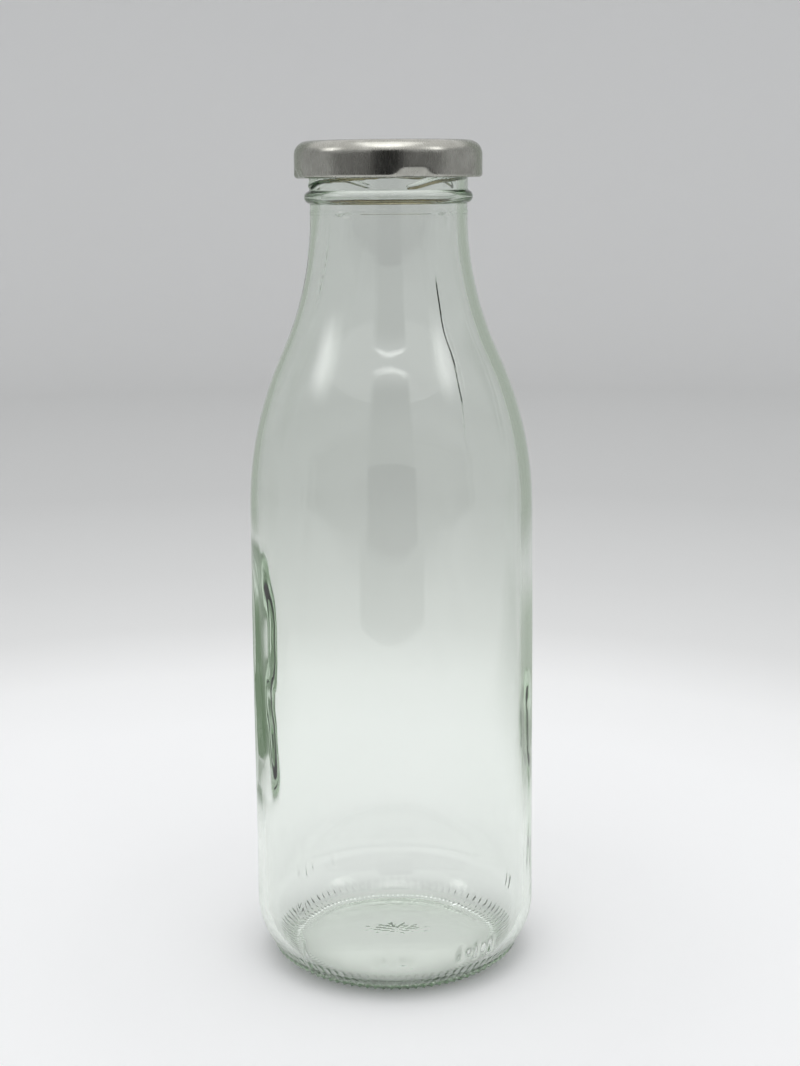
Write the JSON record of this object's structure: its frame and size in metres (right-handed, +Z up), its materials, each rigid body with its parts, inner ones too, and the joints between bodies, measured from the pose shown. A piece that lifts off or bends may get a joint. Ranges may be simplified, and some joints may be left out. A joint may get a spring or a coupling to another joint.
{
  "type": "milk bottle",
  "caption": "Clear glass milk bottle with rounded shoulders, a threaded finish and a twist-off tinplate lid that unscrews and lifts off.",
  "frame": {"origin": "centre of the base, on the plane that the bottle stands on", "axes": "+Z up along the bottle's axis, from the base to the lid; -Y is the front"},
  "size_m": [0.0724, 0.0724, 0.209],
  "materials": {
    "glass": "clear, very pale green",
    "lid_tinplate": "satin silver lacquer over tinplate",
    "seal_compound": "matt off-white compound"
  },
  "bodies": {
    "bottle": {"glass_bottle": "glass"},
    "seal": {"sealing_ring": "seal_compound"},
    "lid": {"lid_shell": "lid_tinplate"}
  },
  "joints": [
    {"name": "lid_rise", "type": "slide", "parent": "bottle", "child": "seal", "axis": [0, 0, 1], "range_m": [0, 0.0134]},
    {"name": "lid_twist", "type": "hinge", "parent": "seal", "child": "lid", "pos_m": [0, 0, 0.2001], "axis": [0, 0, 1], "range_deg": [0, 540]}
  ],
  "couplings": [
    {"joint": "lid_rise", "follows": "lid_twist", "m_per_rad": 0.0014165}
  ]
}
